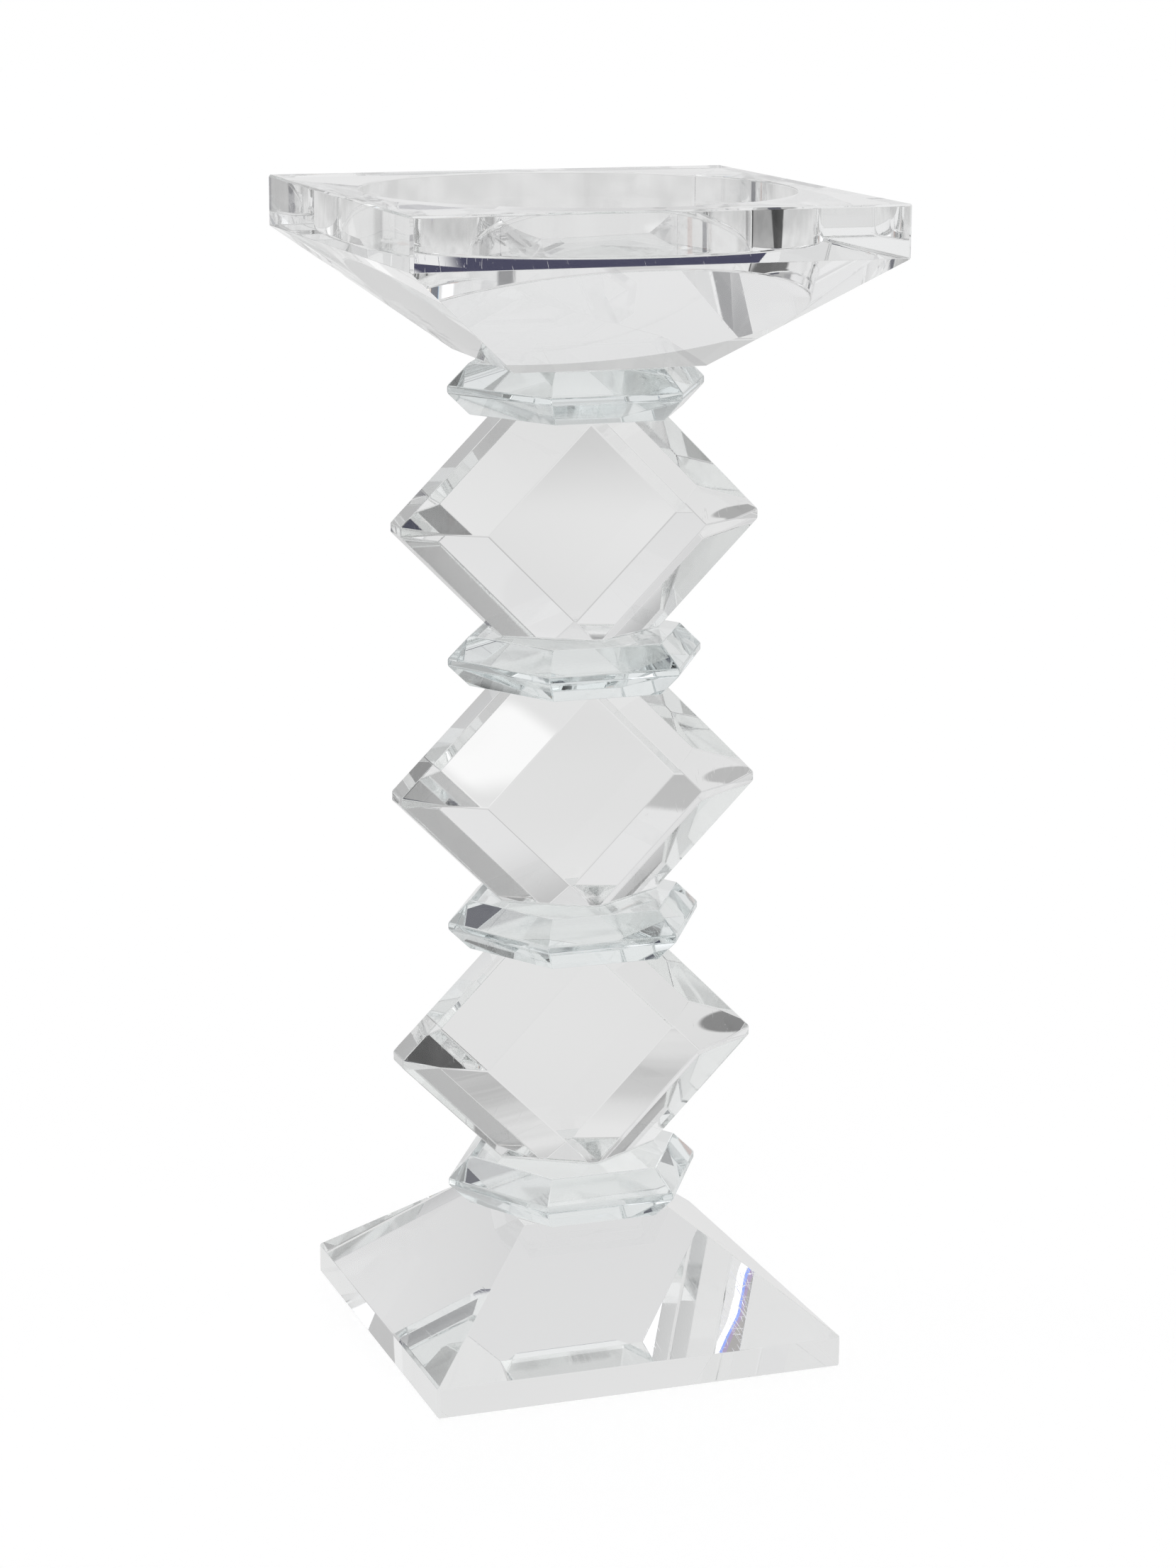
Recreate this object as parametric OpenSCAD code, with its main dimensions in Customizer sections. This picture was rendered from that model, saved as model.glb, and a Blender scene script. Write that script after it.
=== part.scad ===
// Cut-glass pillar candlestick.
// A square stepped base, a stack of square blocks standing on their corners
// with hexagonal spacers between them, and a square cup with a round recess
// for the candle.  Every piece is solid glass and is bonded to the next by a
// thin clear film.  Z is up, X runs along the front of the base, and the
// origin is the middle of the base's underside.

/* [Base] */
// Side of the square base
base_side = 111; // [104:1:120]
// Height of the upright band round the base
base_band = 8; // [6:0.5:10]
// Full height of the base, band and pyramid together
base_height = 36; // [30:1:40]
// Side of the square flat on top of the base
base_top = 41; // [38:1:46]

/* [Spacers] */
// Spacer width over opposite corners of its hexagonal edge
spacer_width = 70; // [62:1:76]
// Width over opposite corners of the flat on each end of a spacer
spacer_flat = 58; // [54:1:60]
// Height of a spacer
spacer_height = 13.4; // [11:0.2:16]
// Height of the upright rim between a spacer's two slopes
spacer_rim = 1.8; // [1:0.2:3]

/* [Blocks] */
// Block width from left tip to right tip, before the tips are eased
block_width = 100; // [90:1:104]
// Height of a block between its two cut flats
block_height = 56.8; // [52:0.2:60]
// Diagonal of the square table on the front and back of a block
block_table = 59; // [50:1:62]
// Thickness of a block from front table to back table
block_depth = 34; // [28:1:38]
// Thickness of the upright rim between a block's two bevels
block_rim = 9; // [6:0.5:14]
// How much each side tip is cut back
block_tip_cut = 1.2; // [1:0.2:4]

/* [Candle cup] */
// Side of the square cup
cup_side = 128; // [120:1:140]
// Height of the upright band round the cup
cup_band = 13.2; // [12:0.2:16]
// Full height of the cup, band and tapered underside together
cup_height = 42.8; // [38:0.2:48]
// Side of the square flat under the cup
cup_foot = 51; // [46:1:56]
// Diameter of the candle recess
recess_d = 111; // [100:0.5:112]
// Depth of the candle recess
recess_depth = 12; // [8:0.5:14]

/* [Finish] */
// Width of the small flat ground on each square corner
corner_cut = 1.2; // [0.6:0.2:2.4]
// Width of the fine bevel ground along the horizontal edges
arris = 0.5; // [0.2:0.1:0.8]
// Thickness of the clear film between bonded pieces
bond = 0.2; // [0.1:0.05:0.3]

/* [Hidden] */
$fn = 96;

// Levels up the stack
pitch = spacer_height + block_height + 2 * bond;
z_spacer = base_height + bond;
z_block = z_spacer + spacer_height + bond;
z_cup = z_spacer + 3 * pitch + spacer_height + bond;
z_top = z_cup + cup_height;

// Half sizes of a block, measured along its sloping sides
block_half = block_width / 2;
block_edge = block_half / sqrt(2);
block_face = block_table / 2 / sqrt(2);
// Half width of the contact flat on a block, and its half depth where the
// bevels run out
contact_x = block_half - block_height / 2;

// A bar along Y with the given outline in X and Z
module bar(outline, len) {
  rotate([90, 0, 0]) linear_extrude(height = len, center = true)
    polygon(outline);
}

// A solid with four like sides: the same outline seen from the front and
// from the side, with a narrow flat ground on each upright corner
module four_sided(outline, side, top) {
  intersection() {
    bar(outline, 2 * side);
    rotate([0, 0, 90]) bar(outline, 2 * side);
    rotate([0, 0, 45]) translate([0, 0, top / 2])
      cube([sqrt(2) * side - corner_cut, sqrt(2) * side - corner_cut,
            top + 2], center = true);
  }
}

// Half outline mirrored to a full one
function both(half) = concat(half,
  [for (i = [len(half) - 1:-1:0]) [-half[i][0], half[i][1]]]);

// A six-sided solid with the same outline across each pair of sides
module six_sided(outline, width) {
  intersection() {
    bar(outline, 2 * width);
    rotate([0, 0, 60]) bar(outline, 2 * width);
    rotate([0, 0, 120]) bar(outline, 2 * width);
  }
}

module base_body() {
  s = base_side / 2;
  four_sided(both([[s - arris, 0], [s, arris], [s, base_band],
                   [base_top / 2, base_height]]), base_side, base_height);
}

// Corners of a spacer point along X, so its flat sides face the front
module spacer_body() {
  a = spacer_width / 2 * cos(30);
  f = spacer_flat / 2 * cos(30);
  h = spacer_height;
  r = spacer_rim / 2;
  rotate([0, 0, 90])
    six_sided(both([[f, 0], [a, h / 2 - r], [a, h / 2 + r], [f, h]]),
              spacer_width);
}

// The block stands on a corner: its two sloping directions carry the same
// bevelled outline, and flats are cut at the top, the bottom and both tips
module block_body() {
  d = block_depth / 2;
  r = block_rim / 2;
  side = [[block_face, -d], [block_edge, -r], [block_edge, r],
          [block_face, d]];
  outline = concat(side, [for (i = [3:-1:0]) [-side[i][0], side[i][1]]]);
  // Plan outline of the eased tips, running out part way along each ridge
  tip = block_half - block_tip_cut;
  ridge_x = block_table / 4 + block_half / 2;
  ridge_y = (d + r) / 2;
  run = (d + 4 - r) / (ridge_y - r);
  far_x = tip - (tip - ridge_x) * run;
  intersection() {
    rotate([0, 45, 0])
      linear_extrude(height = 3 * block_half, center = true) polygon(outline);
    rotate([0, -45, 0])
      linear_extrude(height = 3 * block_half, center = true) polygon(outline);
    linear_extrude(height = block_height, center = true)
      polygon([[tip, -r], [tip, r], [far_x, d + 4], [-far_x, d + 4],
               [-tip, r], [-tip, -r], [-far_x, -d - 4], [far_x, -d - 4]]);
  }
}

module cup_body() {
  s = cup_side / 2;
  difference() {
    four_sided(both([[cup_foot / 2, 0], [s, cup_height - cup_band],
                     [s, cup_height - arris], [s - arris, cup_height]]),
               cup_side, cup_height);
    translate([0, 0, cup_height - recess_depth])
      cylinder(h = recess_depth + 1, d = recess_d);
    translate([0, 0, cup_height - arris])
      cylinder(h = 2 * arris, d1 = recess_d, d2 = recess_d + 4 * arris);
  }
}

// Clear film the shape of a block's contact flat
module block_film() {
  r = block_rim / 2;
  d = block_depth / 2;
  // How far back the flat reaches before the bevels end it, and half the
  // width it has there where it cuts into the tables
  reach = min(d, r + (d - r) * contact_x / (block_half - block_table / 2));
  e = max(0.2, (block_table - block_height) / 2);
  linear_extrude(height = bond)
    polygon([[contact_x, -r], [contact_x, r], [e, reach], [-e, reach],
             [-contact_x, r], [-contact_x, -r], [-e, -reach], [e, -reach]]);
}

// Clear film where a square flat meets a spacer's hexagonal flat
module square_film(side) {
  linear_extrude(height = bond) intersection() {
    square(side, center = true);
    circle(d = spacer_flat, $fn = 6);
  }
}

module base() { color([0.86, 0.89, 0.90, 0.5]) base_body(); }

module bond_base() {
  color([0.92, 0.94, 0.92, 0.4]) translate([0, 0, base_height])
    square_film(base_top);
}

module spacer(i) {
  color([0.78, 0.87, 0.87, 0.5])
    translate([0, 0, z_spacer + i * pitch]) spacer_body();
}

module block(i) {
  color([0.84, 0.86, 0.86, 0.5])
    translate([0, 0, z_block + i * pitch + block_height / 2]) block_body();
}

module spacer_1() { spacer(0); }
module block_1() { block(0); }
module spacer_2() { spacer(1); }
module block_2() { block(1); }
module spacer_3() { spacer(2); }
module block_3() { block(2); }
module spacer_4() { spacer(3); }

module bond_blocks() {
  color([0.92, 0.94, 0.92, 0.4])
    for (i = [0:2], top = [0, 1])
      translate([0, 0, z_block - bond + i * pitch
                       + top * (block_height + bond)]) block_film();
}

module bond_cup() {
  color([0.92, 0.94, 0.92, 0.4]) translate([0, 0, z_cup - bond])
    square_film(cup_foot);
}

module candle_cup() {
  color([0.84, 0.88, 0.90, 0.5]) translate([0, 0, z_cup]) cup_body();
}

base();
bond_base();
spacer_1();
block_1();
spacer_2();
block_2();
spacer_3();
block_3();
spacer_4();
bond_blocks();
bond_cup();
candle_cup();
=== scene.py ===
import bpy
import bmesh
import math
import numpy as np
from itertools import combinations
from mathutils import Matrix, Vector


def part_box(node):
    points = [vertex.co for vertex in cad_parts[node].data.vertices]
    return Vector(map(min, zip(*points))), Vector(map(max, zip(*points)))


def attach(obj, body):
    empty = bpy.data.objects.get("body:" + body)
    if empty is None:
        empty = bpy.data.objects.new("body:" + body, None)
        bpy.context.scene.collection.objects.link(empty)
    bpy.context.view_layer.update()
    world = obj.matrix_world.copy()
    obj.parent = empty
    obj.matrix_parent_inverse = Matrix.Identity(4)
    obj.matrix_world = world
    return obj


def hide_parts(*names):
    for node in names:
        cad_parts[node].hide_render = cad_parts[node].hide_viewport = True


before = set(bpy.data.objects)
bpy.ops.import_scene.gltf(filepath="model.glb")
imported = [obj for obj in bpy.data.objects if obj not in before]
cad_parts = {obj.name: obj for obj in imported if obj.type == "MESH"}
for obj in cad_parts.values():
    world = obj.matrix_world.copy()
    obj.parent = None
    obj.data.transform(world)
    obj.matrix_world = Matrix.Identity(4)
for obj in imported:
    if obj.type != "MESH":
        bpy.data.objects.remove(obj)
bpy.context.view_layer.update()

MM = 0.001


# ------------------------------------------------------------------ camera
# Where the photograph was taken from: about 1 m away, a little left of the
# front and above the middle of the stand, looking slightly down.
cam_data = bpy.data.cameras.new("view")
cam = bpy.data.objects.new("view", cam_data)
bpy.context.scene.collection.objects.link(cam)
bpy.context.scene.camera = cam
AZ, DIST, HEIGHT = -0.3400, 0.9703, 0.3838
PITCH, YAW, ROLL = 0.2372, -0.0036, 0.0066
a = AZ + YAW
ahead = Vector((-math.sin(a), math.cos(a), 0))
right = Vector((math.cos(a), math.sin(a), 0))
look = ahead * math.cos(PITCH) - Vector((0, 0, 1)) * math.sin(PITCH)
up = ahead * math.sin(PITCH) + Vector((0, 0, 1)) * math.cos(PITCH)
r2 = right * math.cos(ROLL) + up * math.sin(ROLL)
u2 = -right * math.sin(ROLL) + up * math.cos(ROLL)
place = Vector((DIST * math.sin(AZ), -DIST * math.cos(AZ), HEIGHT))
cam.matrix_world = Matrix((
    (r2.x, u2.x, -look.x, place.x),
    (r2.y, u2.y, -look.y, place.y),
    (r2.z, u2.z, -look.z, place.z),
    (0, 0, 0, 1)))
cam_data.sensor_fit = "VERTICAL"
cam_data.sensor_height = 36.0
cam_data.lens = 36.0 * 5356.0 / 2212.0
cam_data.clip_start = 0.01
cam_data.clip_end = 20.0


# --------------------------------------------------------------- materials
def nodes_of(name):
    m = bpy.data.materials.new(name)
    m.use_nodes = True
    nt = m.node_tree
    nt.nodes.clear()
    out = nt.nodes.new("ShaderNodeOutputMaterial")
    return m, nt, out


def glass(name, tint, ior, wave, wave_scale, haze, scratch, absorb, density, seed):
    """Polished cut glass: slow waves left by lapping, a faint haze of wipe
    marks and hairline scratches, and a few specks of dust."""
    m, nt, out = nodes_of(name)
    N, L = nt.nodes, nt.links
    bsdf = N.new("ShaderNodeBsdfPrincipled")
    bsdf.inputs["Base Color"].default_value = (*tint, 1)
    bsdf.inputs["IOR"].default_value = ior
    bsdf.inputs["Transmission Weight"].default_value = 1.0
    bsdf.inputs["Metallic"].default_value = 0.0
    L.new(bsdf.outputs["BSDF"], out.inputs["Surface"])
    vol = N.new("ShaderNodeVolumeAbsorption")
    vol.inputs["Color"].default_value = (*absorb, 1)
    vol.inputs["Density"].default_value = density
    L.new(vol.outputs["Volume"], out.inputs["Volume"])
    co = N.new("ShaderNodeTexCoord")
    shift = N.new("ShaderNodeMapping")
    shift.inputs["Location"].default_value = (seed * 0.37, seed * 0.61, seed * 0.23)
    L.new(co.outputs["Object"], shift.inputs["Vector"])
    # slow waves of the lapped faces
    n1 = N.new("ShaderNodeTexNoise")
    n1.inputs["Scale"].default_value = wave_scale
    n1.inputs["Detail"].default_value = 1.0
    n1.inputs["Roughness"].default_value = 0.4
    L.new(shift.outputs["Vector"], n1.inputs["Vector"])
    b1 = N.new("ShaderNodeBump")
    b1.inputs["Strength"].default_value = 1.0
    b1.inputs["Distance"].default_value = wave
    L.new(n1.outputs["Fac"], b1.inputs["Height"])
    # hairline scratches: thin bright lines of a stretched noise
    ms = N.new("ShaderNodeMapping")
    ms.inputs["Rotation"].default_value = (0.5, 0.9, 0.35)
    ms.inputs["Scale"].default_value = (2400.0, 45.0, 300.0)
    L.new(shift.outputs["Vector"], ms.inputs["Vector"])
    n2 = N.new("ShaderNodeTexNoise")
    n2.inputs["Scale"].default_value = 1.0
    n2.inputs["Detail"].default_value = 0.0
    L.new(ms.outputs["Vector"], n2.inputs["Vector"])
    r2_ = N.new("ShaderNodeMapRange")
    r2_.inputs["From Min"].default_value = 0.735
    r2_.inputs["From Max"].default_value = 0.80
    L.new(n2.outputs["Fac"], r2_.inputs["Value"])
    b2 = N.new("ShaderNodeBump")
    b2.invert = True
    b2.inputs["Strength"].default_value = scratch
    b2.inputs["Distance"].default_value = 0.00002
    L.new(r2_.outputs["Result"], b2.inputs["Height"])
    L.new(b1.outputs["Normal"], b2.inputs["Normal"])
    L.new(b2.outputs["Normal"], bsdf.inputs["Normal"])
    # wipe marks and specks of dust only change how sharp it shines
    n3 = N.new("ShaderNodeTexNoise")
    n3.inputs["Scale"].default_value = 60.0
    n3.inputs["Detail"].default_value = 3.0
    n3.inputs["Roughness"].default_value = 0.6
    L.new(shift.outputs["Vector"], n3.inputs["Vector"])
    r3 = N.new("ShaderNodeMapRange")
    r3.inputs["From Min"].default_value = 0.45
    r3.inputs["From Max"].default_value = 0.80
    r3.inputs["To Min"].default_value = 0.0
    r3.inputs["To Max"].default_value = haze
    L.new(n3.outputs["Fac"], r3.inputs["Value"])
    v = N.new("ShaderNodeTexVoronoi")
    v.inputs["Scale"].default_value = 420.0
    v.inputs["Randomness"].default_value = 1.0
    L.new(shift.outputs["Vector"], v.inputs["Vector"])
    r4 = N.new("ShaderNodeMapRange")
    r4.inputs["From Min"].default_value = 0.045
    r4.inputs["From Max"].default_value = 0.03
    r4.inputs["To Min"].default_value = 0.0
    r4.inputs["To Max"].default_value = 0.25
    L.new(v.outputs["Distance"], r4.inputs["Value"])
    add = N.new("ShaderNodeMath")
    add.operation = "ADD"
    L.new(r3.outputs["Result"], add.inputs[0])
    L.new(r4.outputs["Result"], add.inputs[1])
    L.new(add.outputs["Value"], bsdf.inputs["Roughness"])
    return m


GLASS_CLEAR = glass("clear_crystal", (0.989, 0.990, 0.989), 1.52,
                    0.00003, 22.0, 0.012, 0.06, (0.90, 0.93, 0.92), 1.0, 1.0)
GLASS_BLOCK = glass("block_crystal", (0.988, 0.988, 0.987), 1.52,
                    0.000006, 30.0, 0.010, 0.04, (0.90, 0.93, 0.92), 1.0, 2.0)
GLASS_SPACER = glass("spacer_crystal", (0.982, 0.992, 0.992), 1.52,
                     0.000003, 40.0, 0.010, 0.04, (0.78, 0.93, 0.95), 2.5, 3.0)
BOND = glass("clear_bond", (0.99, 0.99, 0.985), 1.49,
             0.00001, 120.0, 0.04, 0.05, (0.9, 0.92, 0.9), 1.0, 4.0)


# ------------------------------------------------------------------ shapes
def solid_points(planes, tol=1e-6):
    """Corner points of the convex solid that these planes bound. A plane is
    (normal, distance), and the solid is on the low side of it. In mm."""
    nn = np.array([list(p[0]) for p in planes], float)
    dd_ = np.array([p[1] for p in planes], float)
    pts = []
    for tri in combinations(range(len(planes)), 3):
        m = nn[list(tri)]
        if abs(np.linalg.det(m)) < 1e-7:
            continue
        x = np.linalg.solve(m, dd_[list(tri)])
        if np.all(nn @ x <= dd_ + tol):
            if all(np.abs(x - y).max() > 1e-3 for y in pts):
                pts.append(x)
    return [Vector(x) for x in pts]


def plane(n, through):
    n = np.array(n, float)
    n = n / np.linalg.norm(n)
    return (n, float(n @ np.array(through, float)))


def hull_bmesh(pts):
    bm = bmesh.new()
    for p in pts:
        bm.verts.new(p)
    bmesh.ops.convex_hull(bm, input=list(bm.verts))
    bmesh.ops.dissolve_limit(bm, angle_limit=math.radians(0.4),
                             verts=list(bm.verts), edges=list(bm.edges))
    bmesh.ops.recalc_face_normals(bm, faces=list(bm.faces))
    return bm


def finish_piece(bm, name, z, mat, nodes, bevel, weld=True, segments=2):
    """Grinds the edges, moves the piece to its level and hands it over."""
    if bevel:
        edges = [e for e in bm.edges if e.is_manifold
                 and e.calc_face_angle(0) > math.radians(12)]
        bmesh.ops.bevel(bm, geom=edges, offset=bevel, offset_type="OFFSET",
                        segments=segments, profile=0.5, affect="EDGES",
                        clamp_overlap=True)
    for v in bm.verts:
        v.co = Vector((v.co.x * MM, v.co.y * MM, (v.co.z + z) * MM))
    for f in bm.faces:
        f.smooth = True
    me = bpy.data.meshes.new(name)
    bm.to_mesh(me)
    bm.free()
    ob = bpy.data.objects.new(name, me)
    bpy.context.scene.collection.objects.link(ob)
    wn = ob.modifiers.new("flat_faces", "WEIGHTED_NORMAL")
    wn.mode = "FACE_AREA"
    wn.weight = 100
    wn.keep_sharp = False
    me.materials.append(mat)
    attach(ob, "root")
    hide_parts(*nodes)
    return ob


def four(side_half, prof, corner):
    """Planes of a four-sided solid from half an outline [(half width, z)...],
    listed upward, with a flat ground on each upright corner."""
    pl = []
    for k in range(4):
        c, s = round(math.cos(k * math.pi / 2)), round(math.sin(k * math.pi / 2))
        for (w0, z0), (w1, z1) in zip(prof, prof[1:]):
            pl.append(plane((c * (z1 - z0), s * (z1 - z0), w0 - w1), (c * w0, s * w0, z0)))
        d = (math.sqrt(2) * 2 * side_half - corner) / 2
        ang = math.pi / 4 + k * math.pi / 2
        pl.append(((math.cos(ang), math.sin(ang), 0.0), d))
    pl.append(plane((0, 0, -1), (0, 0, prof[0][1])))
    pl.append(plane((0, 0, 1), (0, 0, prof[-1][1])))
    return pl


def box_of(node):
    lo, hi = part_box(node)
    return lo / MM, hi / MM


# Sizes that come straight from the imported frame
b_lo, b_hi = box_of("base")
c_lo, c_hi = box_of("candle_cup")
BASE_HALF = b_hi.x
CUP_HALF = c_hi.x
CUP_H = c_hi.z - c_lo.z
GAP = 0.02     # how far the film runs into the glass on either side

# base -----------------------------------------------------------------
pts = solid_points(four(BASE_HALF, [(BASE_HALF - 0.5, 0), (BASE_HALF, 0.5),
                                    (BASE_HALF, 8.0), (20.5, b_hi.z)], 1.2))
finish_piece(hull_bmesh(pts), "base_glass", 0, GLASS_CLEAR,
             ["base"], 0.4)


# spacers --------------------------------------------------------------
def spacer_planes(width, flat, h, rim):
    pl = []
    aw, fw = width / 2 * math.cos(math.pi / 6), flat / 2 * math.cos(math.pi / 6)
    for k in range(6):
        ang = math.pi / 2 + k * math.pi / 3
        nx, ny = math.cos(ang), math.sin(ang)
        for (w0, z0), (w1, z1) in (((fw, 0), (aw, h / 2 - rim / 2)),
                                   ((aw, h / 2 - rim / 2), (aw, h / 2 + rim / 2)),
                                   ((aw, h / 2 + rim / 2), (fw, h))):
            pl.append(plane((nx * (z1 - z0), ny * (z1 - z0), w0 - w1),
                            (nx * w0, ny * w0, z0)))
    pl.append(plane((0, 0, -1), (0, 0, 0)))
    pl.append(plane((0, 0, 1), (0, 0, h)))
    return pl


for i in range(1, 5):
    lo, hi = box_of(f"spacer_{i}")
    pts = solid_points(spacer_planes(hi.x - lo.x, 58.0, hi.z - lo.z, 1.8))
    finish_piece(hull_bmesh(pts), f"spacer_glass_{i}", lo.z, GLASS_SPACER,
                 [f"spacer_{i}"], 0.35)


# blocks ---------------------------------------------------------------
def block_planes(half, h, table, depth, rim, tip_cut):
    d, r = depth / 2, rim / 2
    e, f = half / math.sqrt(2), table / 2 / math.sqrt(2)
    q = 1 / math.sqrt(2)
    pl = []
    for sx, sz in ((1, 1), (1, -1), (-1, 1), (-1, -1)):
        nx, nz = sx * q, sz * q
        pl.append(((nx, 0.0, nz), e))
        for sy in (1, -1):
            run, rise = d - r, e - f
            pl.append(plane((nx * run, sy * rise, nz * run), (nx * e, sy * r, nz * e)))
    for sy in (1, -1):
        pl.append(((0.0, sy, 0.0), d))
    for sz in (1, -1):
        pl.append(((0.0, 0.0, sz), h / 2))
    tip = half - tip_cut
    rx, ry = table / 4 + half / 2, (d + r) / 2
    for sx in (1, -1):
        pl.append(((sx, 0.0, 0.0), tip))
        for sy in (1, -1):
            pl.append(plane((sx * (ry - r), sy * (tip - rx), 0), (sx * tip, sy * r, 0)))
    return pl


BLOCK = dict(half=50.0, h=56.8, table=59.0, depth=34.0, rim=9.0, tip_cut=1.2)
for i in range(1, 4):
    lo, hi = box_of(f"block_{i}")
    pts = solid_points(block_planes(**BLOCK))
    finish_piece(hull_bmesh(pts), f"block_glass_{i}", (lo.z + hi.z) / 2,
                 GLASS_BLOCK, [f"block_{i}"], 0.3)


# bonds ----------------------------------------------------------------
def film(name, outline, z, t, mat, nodes):
    bm = bmesh.new()
    lo = [bm.verts.new((x, y, -GAP)) for x, y in outline]
    hi = [bm.verts.new((x, y, t + GAP)) for x, y in outline]
    bm.faces.new(list(reversed(lo)))
    bm.faces.new(hi)
    n = len(outline)
    for k in range(n):
        bm.faces.new((lo[k], lo[(k + 1) % n], hi[(k + 1) % n], hi[k]))
    bmesh.ops.recalc_face_normals(bm, faces=list(bm.faces))
    return finish_piece(bm, name, z, mat, nodes, 0)


def clip_square_hex(side, flat):
    pl = [(Vector((1, 0, 0)), side / 2), (Vector((-1, 0, 0)), side / 2),
          (Vector((0, 1, 0)), side / 2), (Vector((0, -1, 0)), side / 2),
          (Vector((0, 0, 1)), 1), (Vector((0, 0, -1)), 1)]
    for k in range(6):
        ang = math.pi / 2 + k * math.pi / 3
        pl.append((Vector((math.cos(ang), math.sin(ang), 0)),
                   flat / 2 * math.cos(math.pi / 6)))
    p = [(v.x, v.y) for v in solid_points(pl) if v.z > 0]
    return sorted(p, key=lambda q: math.atan2(q[1], q[0]))


film("bond_film_base", clip_square_hex(41.0, 58.0), b_hi.z, 0.2, BOND, ["bond_base"])
film("bond_film_cup", clip_square_hex(51.0, 58.0), c_lo.z - 0.2, 0.2, BOND, ["bond_cup"])
cx = BLOCK["half"] - BLOCK["h"] / 2
rr = BLOCK["rim"] / 2
dd = BLOCK["depth"] / 2
reach = min(dd, rr + (dd - rr) * cx / (BLOCK["half"] - BLOCK["table"] / 2))
ex = (BLOCK["table"] - BLOCK["h"]) / 2
outline = [(cx, -rr), (cx, rr), (ex, reach), (-ex, reach),
           (-cx, rr), (-cx, -rr), (-ex, -reach), (ex, -reach)]
for i in range(1, 4):
    lo, hi = box_of(f"block_{i}")
    film(f"bond_film_{2 * i - 1}", outline, lo.z - 0.2, 0.2, BOND, ["bond_blocks"])
    film(f"bond_film_{2 * i}", outline, hi.z, 0.2, BOND, ["bond_blocks"])


# candle cup -----------------------------------------------------------
def cup():
    h, band, foot, ar = CUP_H, 13.2, 25.5, 0.5
    r, depth, n = 55.5, 12.0, 256
    pts = solid_points(four(CUP_HALF, [(foot, 0), (CUP_HALF, h - band),
                                       (CUP_HALF, h - ar), (CUP_HALF - ar, h)], 1.2))
    bm = hull_bmesh(pts)
    edges = [e for e in bm.edges if e.calc_face_angle(0) > math.radians(12)]
    bmesh.ops.bevel(bm, geom=edges, offset=0.3, offset_type="OFFSET",
                    segments=2, profile=0.5, affect="EDGES", clamp_overlap=True)
    top = max(bm.faces, key=lambda f: (round(f.calc_center_median().z, 3), f.calc_area()))
    outer = list(top.edges)
    bm.faces.remove(top)
    # rim bevel, upright wall, small fillet and floor of the recess
    f = 0.8
    prof = [(r + ar, h), (r, h - ar), (r, h - depth + f)]
    for k in range(1, 7):
        t = k / 6 * math.pi / 2
        prof.append((r - f + f * math.cos(t), h - depth + f - f * math.sin(t)))
    rings = []
    for (pr, pz) in prof:
        rings.append([bm.verts.new((pr * math.cos(2 * math.pi * k / n),
                                    pr * math.sin(2 * math.pi * k / n), pz))
                      for k in range(n)])
    for r0, r1 in zip(rings, rings[1:]):
        for k in range(n):
            bm.faces.new((r0[k], r0[(k + 1) % n], r1[(k + 1) % n], r1[k]))
    bm.faces.new(rings[-1])
    inner = [bm.edges.get((rings[0][k], rings[0][(k + 1) % n])) for k in range(n)]
    bmesh.ops.triangle_fill(bm, use_beauty=True, use_dissolve=False,
                            edges=outer + inner, normal=(0, 0, 1))
    bmesh.ops.recalc_face_normals(bm, faces=list(bm.faces))
    return bm


finish_piece(cup(), "candle_cup_glass", c_lo.z, GLASS_CLEAR,
             ["candle_cup"], 0)


# ------------------------------------------------------------------ studio
def flat_material(name, colour, rough):
    m, nt, out = nodes_of(name)
    bsdf = nt.nodes.new("ShaderNodeBsdfPrincipled")
    bsdf.inputs["Base Color"].default_value = (*colour, 1)
    bsdf.inputs["Roughness"].default_value = rough
    nt.links.new(bsdf.outputs["BSDF"], out.inputs["Surface"])
    return m


def quad(name, corners, mat):
    me = bpy.data.meshes.new(name)
    me.from_pydata(corners, [], [tuple(range(len(corners)))])
    ob = bpy.data.objects.new(name, me)
    bpy.context.scene.collection.objects.link(ob)
    me.materials.append(mat)
    return ob


def glow_material(name, colour, glow, strength, shade):
    """Lit paper: mostly its own even light, with a little real shading."""
    m, nt, out = nodes_of(name)
    bsdf = nt.nodes.new("ShaderNodeBsdfPrincipled")
    bsdf.inputs["Base Color"].default_value = (shade, shade, shade, 1)
    bsdf.inputs["Roughness"].default_value = 1.0
    bsdf.inputs["Specular IOR Level"].default_value = 0.0
    bsdf.inputs["Emission Color"].default_value = (*colour, 1)
    bsdf.inputs["Emission Strength"].default_value = strength
    nt.links.new(bsdf.outputs["BSDF"], out.inputs["Surface"])
    return m


def seen_by(ob, camera, glass_rays):
    ob.visible_camera = camera
    ob.visible_transmission = glass_rays
    ob.visible_glossy = glass_rays
    ob.visible_diffuse = False
    ob.visible_shadow = False
    ob.visible_volume_scatter = False


# The white sheet and dome that the camera sees. A glass stand photographs
# against plain white, so this sheet has its own light, as a light table has.
white_sheet = glow_material("white_sheet", (1, 1, 1), 1.0, 0.74, 0.34)
white_dome = glow_material("white_dome", (1, 1, 1), 1.0, 1.0, 0.0)
S = 7.0
sheet = quad("floor", [(-S, -S, -0.0008), (S, -S, -0.0008), (S, S, -0.0008), (-S, S, -0.0008)],
             white_sheet)
seen_by(sheet, True, False)
bm = bmesh.new()
bmesh.ops.create_uvsphere(bm, u_segments=48, v_segments=24, radius=6.5)
me = bpy.data.meshes.new("backdrop")
bm.to_mesh(me)
bm.free()
dome = bpy.data.objects.new("backdrop", me)
bpy.context.scene.collection.objects.link(dome)
me.materials.append(white_dome)
seen_by(dome, True, False)

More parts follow.
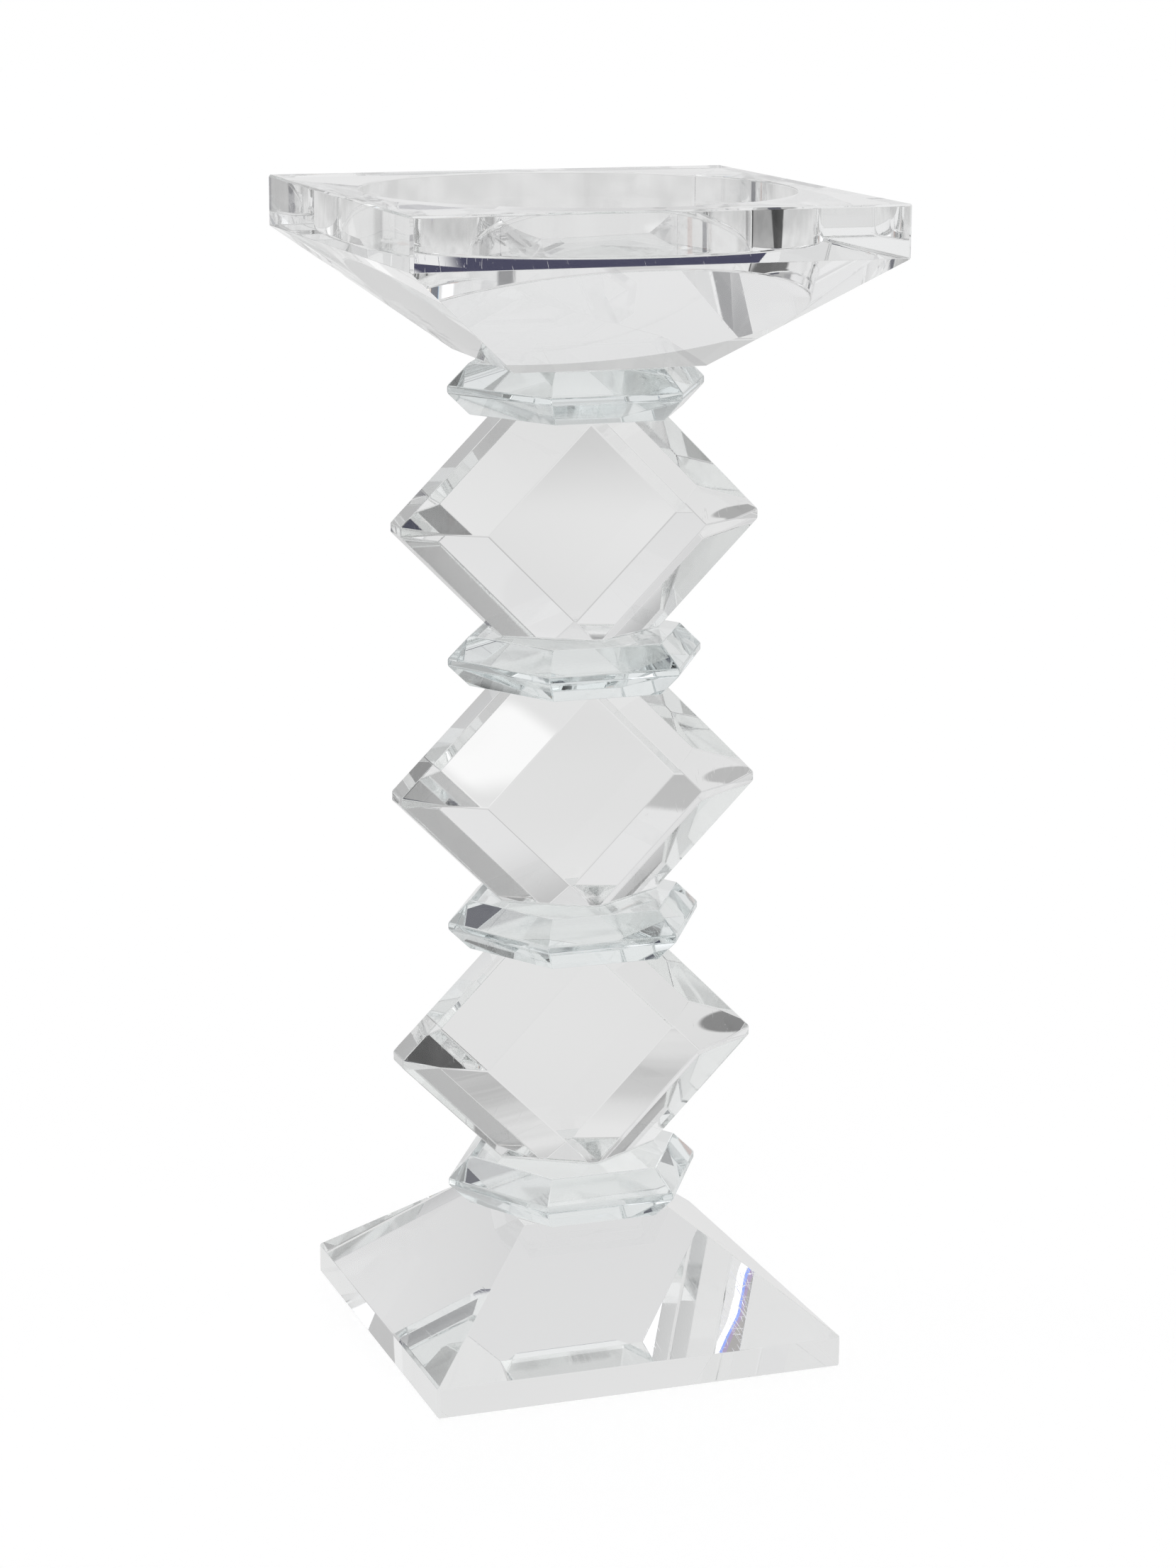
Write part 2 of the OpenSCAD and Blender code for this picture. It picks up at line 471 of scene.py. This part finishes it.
# The pale table top that the glass itself looks at. It is no lamp, yet it glows with painted light:
# brightest round the stand, with painted shade towards the camera's side and out towards the edge.
def painted_light_table_material():
    m, nt, out = nodes_of("painted_light_table_top")
    geo = nt.nodes.new("ShaderNodeNewGeometry")
    sep = nt.nodes.new("ShaderNodeSeparateXYZ")
    nt.links.new(geo.outputs["Position"], sep.inputs["Vector"])

    def calc(kind, p, q=None):
        n = nt.nodes.new("ShaderNodeMath")
        n.operation = kind
        for k, v in enumerate((p, q)):
            if isinstance(v, (int, float)):
                n.inputs[k].default_value = v
            elif v is not None:
                nt.links.new(v, n.inputs[k])
        return n.outputs["Value"]

    def ease(v, lo, hi, a0, a1):
        n = nt.nodes.new("ShaderNodeMapRange")
        n.interpolation_type = "SMOOTHSTEP"
        for key, val in (("From Min", lo), ("From Max", hi), ("To Min", a0), ("To Max", a1)):
            n.inputs[key].default_value = val
        nt.links.new(v, n.inputs["Value"])
        return n.outputs["Result"]

    x, y = sep.outputs["X"], sep.outputs["Y"]
    r = calc("SQRT", calc("ADD", calc("MULTIPLY", x, x), calc("MULTIPLY", y, y)))
    # painted light and shade in rings round the stand: dimmer beyond 1.2 m, a brighter ring near 2.4
    # m, dimmer again far out
    lit = ease(r, 1.2, 1.9, 0.80, 0.58)
    lit = calc("MULTIPLY", lit, ease(r, 2.1, 2.7, 1.0, 1.28))
    lit = calc("MULTIPLY", lit, ease(r, 3.2, 5.5, 1.0, 0.70))
    # painted shade: the glow drops to about half on the camera's side of the table
    lit = calc("MULTIPLY", lit, ease(y, -0.20, 0.0, 0.56, 1.0))
    # painted dark patch on the right: the table's glow is dimmed there to stand for something dark on
    # that side
    painted_dark_area = calc("MULTIPLY", ease(x, 0.42, 0.52, 0.0, 1.0), ease(x, 3.6, 4.2, 1.0, 0.0))
    painted_dark_area = calc("MULTIPLY", painted_dark_area, ease(calc("ABSOLUTE", calc("ADD", y, 0.10)), 0.22, 0.30, 1.0, 0.0))
    lit = calc("MULTIPLY", lit, calc("SUBTRACT", 1.0, calc("MULTIPLY", painted_dark_area, 0.90)))
    # painted highlight: the table's glow is brightened in a small patch behind the stand
    painted_bright_area = calc("MULTIPLY", ease(calc("ABSOLUTE", calc("SUBTRACT", x, 0.165)), 0.02, 0.03, 1.0, 0.0),
                 ease(calc("ABSOLUTE", calc("SUBTRACT", y, 0.24)), 0.015, 0.03, 1.0, 0.0))
    lit = calc("MULTIPLY", lit, calc("ADD", 1.0, calc("MULTIPLY", painted_bright_area, 0.28)))
    # painted dark spots: the table's glow is dimmed in small round areas
    for sx, sy, size, left in ((-0.016, 0.230, 0.012, 0.30), (-0.25, 1.115, 0.015, 0.50),
                               (-0.10, 0.545, 0.012, 0.62), (0.15, -0.245, 0.030, 0.45),
                               (-0.08, -0.20, 0.030, 0.50), (0.30, -0.12, 0.030, 0.20),
                               (-0.10, -0.07, 0.018, 0.30), (0.18, -0.02, 0.020, 0.50)):
        far = nt.nodes.new("ShaderNodeVectorMath")
        far.operation = "DISTANCE"
        nt.links.new(geo.outputs["Position"], far.inputs[0])
        far.inputs[1].default_value = (sx, sy, -0.0003)
        lit = calc("MULTIPLY", lit, ease(far.outputs["Value"], 0.8 * size, size, left, 1.0))
    # the light is a little uneven over the table
    n = nt.nodes.new("ShaderNodeTexNoise")
    n.inputs["Scale"].default_value = 2.6
    n.inputs["Detail"].default_value = 1.0
    nt.links.new(geo.outputs["Position"], n.inputs["Vector"])
    lit = calc("MULTIPLY", lit, ease(n.outputs["Fac"], 0.25, 0.75, 0.93, 1.05))
    glow = nt.nodes.new("ShaderNodeEmission")
    nt.links.new(lit, glow.inputs["Strength"])
    nt.links.new(glow.outputs["Emission"], out.inputs["Surface"])
    return m


painted_light_table_top = painted_light_table_material()
table = quad("table", [(-S, -S, -0.0003), (S, -S, -0.0003), (S, S, -0.0003), (-S, S, -0.0003)],
             painted_light_table_top)
seen_by(table, False, True)


# Three thin strips hung close by on the left, a bright one with a blue edge and a grey card beside
# it. The right-hand slope of the base shows them. None of them is lit: each glows with its own set
# colour, so the grey card and its purple edge carry painted light.
def strips(az, el, dist, height, runs):
    ca, sa = math.cos(math.radians(az)), math.sin(math.radians(az))
    ce, se = math.cos(math.radians(el)), math.sin(math.radians(el))
    towards = Vector((sa * ce, ca * ce, se))
    across = Vector((ca, -sa, 0))
    rise = across.cross(towards)
    centre = Vector((0, 0, height)) + towards * dist
    (u0, v0), (u1, v1) = (0.032, -0.0371), (0.070, -0.0126)
    along = Vector((u1 - u0, v1 - v0)).normalized()
    side = Vector((-along.y, along.x))
    for name, a0, a1, colour in runs:
        m = glow_material(name, colour, 1.0, 1.0, 0.0)
        corners = []
        for (u, v), k in (((u0, v0), a0), ((u1, v1), a0), ((u1, v1), a1), ((u0, v0), a1)):
            q = Vector((u, v)) + side * (k * MM)
            corners.append(centre + across * q.x + rise * q.y)
        seen_by(quad(name, [tuple(c) for c in corners], m), False, True)


strips(-58.2, 31.5, 0.45, 0.02,
       [("light_strip", -0.9, 0.6, (1.5, 1.5, 1.5)),
        ("light_edge", 0.6, 1.2, (0.30, 0.42, 1.05)),
        ("card_edge", 1.2, 1.9, (0.42, 0.33, 0.52)),
        ("card_strip", 1.9, 4.9, (0.40, 0.385, 0.38))])

# WORLD BEGIN
# The room round the table: pale walls that brighten towards the ceiling, a
# dim strip where the wall meets the table, dark cards at the sides and
# behind the camera, and three soft windows.
world = bpy.data.worlds.new("studio")
bpy.context.scene.world = world
world.use_nodes = True
wt = world.node_tree
wt.nodes.clear()
wout = wt.nodes.new("ShaderNodeOutputWorld")
wco = wt.nodes.new("ShaderNodeTexCoord")
sep = wt.nodes.new("ShaderNodeSeparateXYZ")
wt.links.new(wco.outputs["Generated"], sep.inputs["Vector"])
X, Y, Z = sep.outputs["X"], sep.outputs["Y"], sep.outputs["Z"]


def op(kind, p, q=None):
    n = wt.nodes.new("ShaderNodeMath")
    n.operation = kind
    for k, v in enumerate((p, q)):
        if isinstance(v, (int, float)):
            n.inputs[k].default_value = v
        elif v is not None:
            wt.links.new(v, n.inputs[k])
    return n.outputs["Value"]


def ramp(v, lo, hi, out_lo=0.0, out_hi=1.0):
    n = wt.nodes.new("ShaderNodeMapRange")
    n.interpolation_type = "SMOOTHSTEP"
    for key, val in (("From Min", lo), ("From Max", hi), ("To Min", out_lo), ("To Max", out_hi)):
        n.inputs[key].default_value = val
    wt.links.new(v, n.inputs["Value"])
    return n.outputs["Result"]


AROUND = op("MULTIPLY", op("ARCTAN2", X, Y), 180 / math.pi)   # 0 behind, 90 right


def around(centre, half, soft):
    """1 within half degrees of a place round the room."""
    d = op("ABSOLUTE", op("SUBTRACT", AROUND, float(centre)))
    if abs(centre) + half > 175:
        d = op("MINIMUM", d, op("SUBTRACT", 360.0, d))
    return ramp(d, half - soft, half + soft, 1.0, 0.0)


def between(z0, z1, soft):
    return op("MULTIPLY", ramp(Z, z0 - soft, z0 + soft), ramp(Z, z1 - soft, z1 + soft, 1.0, 0.0))


def hang(room, mask, colour):
    """Lays a card or window of one colour over the room."""
    n = wt.nodes.new("ShaderNodeMix")
    n.data_type = "RGBA"
    wt.links.new(mask, n.inputs[0])
    wt.links.new(room, n.inputs[6])
    n.inputs[7].default_value = (*colour, 1)
    return n.outputs[2]


def hang_parted(room, centre, half, z0, z1, soft, soft_z, colour, part):
    """The same with its colours a little apart at the edges, as cut glass
    parts them."""
    high = between(z0, z1, soft_z)
    masks = wt.nodes.new("ShaderNodeCombineXYZ")
    for k, shift in enumerate((-part, 0.0, part)):
        wt.links.new(op("MULTIPLY", around(centre + shift, half, soft), high), masks.inputs[k])
    ends = []
    for kind, p, q in (("SUBTRACT", (1.0, 1.0, 1.0), masks.outputs[0]),
                       ("MULTIPLY", masks.outputs[0], colour)):
        n = wt.nodes.new("ShaderNodeVectorMath")
        n.operation = kind
        for k, v in enumerate((p, q)):
            if isinstance(v, tuple):
                n.inputs[k].default_value = v
            else:
                wt.links.new(v, n.inputs[k])
        ends.append(n.outputs[0])
    for kind, other in (("MULTIPLY", ends[0]), ("ADD", ends[1])):
        n = wt.nodes.new("ShaderNodeVectorMath")
        n.operation = kind
        wt.links.new(room, n.inputs[0])
        wt.links.new(other, n.inputs[1])
        room = n.outputs[0]
    return room


wall = wt.nodes.new("ShaderNodeValToRGB")
stops = [(-1.0, 0.45), (-0.02, 0.45), (0.0, 0.60), (0.012, 0.78), (0.03, 0.80),
         (0.10, 0.80), (0.20, 0.66), (0.35, 0.72), (0.60, 0.84), (0.80, 0.86), (1.0, 0.86)]
els = wall.color_ramp.elements
while len(els) < len(stops):
    els.new(0.5)
for e, (z, v) in zip(els, stops):
    e.position = (z + 1) / 2
    e.color = (v, v, v * 1.005, 1)
wt.links.new(op("ADD", op("MULTIPLY", Z, 0.5), 0.5), wall.inputs["Fac"])
room = wall.outputs["Color"]
INK = (0.02, 0.022, 0.05)
CARDS = [
    # centre, half, low, high, soft, soft in height, colour
    (110, 48, -0.10, 0.56, 6.0, 0.06, (0.40, 0.40, 0.40)),     # dim right-hand wall
    (-165, 17, -0.30, 0.50, 4.0, 0.10, (0.30, 0.30, 0.31)),    # the camera's end
    (37, 12, -0.01, 0.034, 6.0, 0.008, (0.45, 0.45, 0.45)),    # foot of the wall
    (2, 8, 0.0405, 0.060, 2.0, 0.0008, (0.52, 0.52, 0.52)),
    (21, 6, 0.45, 0.51, 2.0, 0.012, (0.60, 0.60, 0.60)),
    (133, 4, 0.62, 0.75, 1.2, 0.012, (0.30, 0.30, 0.30)),
    (46, 3, 0.145, 0.170, 1.0, 0.006, (0.12, 0.12, 0.13)),
    (-31, 5, 0.86, 0.93, 1.2, 0.012, (0.12, 0.12, 0.13)),
    (-9, 3, 0.44, 0.50, 1.0, 0.012, (0.26, 0.26, 0.27)),
    (92, 8, -0.05, 0.30, 1.2, 0.012, INK),                     # dark cards
    (47, 3, 0.20, 0.34, 1.0, 0.012, (0.10, 0.10, 0.12)),
    (-76, 5, 0.00, 0.24, 1.2, 0.012, (0.60, 0.47, 0.44)),
    (-112, 7, 0.00, 0.50, 1.2, 0.012, INK),
    (138, 5, 0.00, 0.60, 1.2, 0.012, INK),
    (50, 17, 0.868, 0.9098, 1.2, 0.001, (0.03, 0.03, 0.08)),
    (68, 6, 0.44, 0.60, 1.2, 0.012, (0.30, 0.30, 0.31)),
    (-68, 7, 0.40, 0.72, 2.0, 0.02, (1.22, 1.22, 1.25)),       # windows
    (120, 8, 0.60, 0.84, 2.0, 0.02, (1.3, 1.3, 1.3)),
    (10, 12, 0.62, 0.76, 2.0, 0.02, (1.2, 1.2, 1.2)),
]
for centre, half, low, high, soft, soft_z, colour in CARDS:
    mask = op("MULTIPLY", around(centre, half, soft), between(low, high, soft_z))
    room = hang(room, mask, colour)
room = hang_parted(room, -50, 6, 0.28, 0.60, 1.0, 0.02, (0.16, 0.17, 0.20), 0.25)
room = hang_parted(room, -38, 2, 0.33, 0.62, 0.8, 0.02, (1.3, 1.3, 1.3), 0.25)
bg = wt.nodes.new("ShaderNodeBackground")
wt.links.new(room, bg.inputs["Color"])
wt.links.new(bg.outputs["Background"], wout.inputs["Surface"])
# WORLD END

scene = bpy.context.scene
scene.view_settings.view_transform = "Standard"
scene.view_settings.look = "None"
scene.view_settings.exposure = 0.0
scene.view_settings.gamma = 1.0
scene.cycles.max_bounces = 32
scene.cycles.transmission_bounces = 32
scene.cycles.glossy_bounces = 16
scene.cycles.diffuse_bounces = 4
scene.cycles.transparent_max_bounces = 32
scene.cycles.caustics_refractive = True
scene.cycles.caustics_reflective = True
scene.cycles.blur_glossy = 0.0
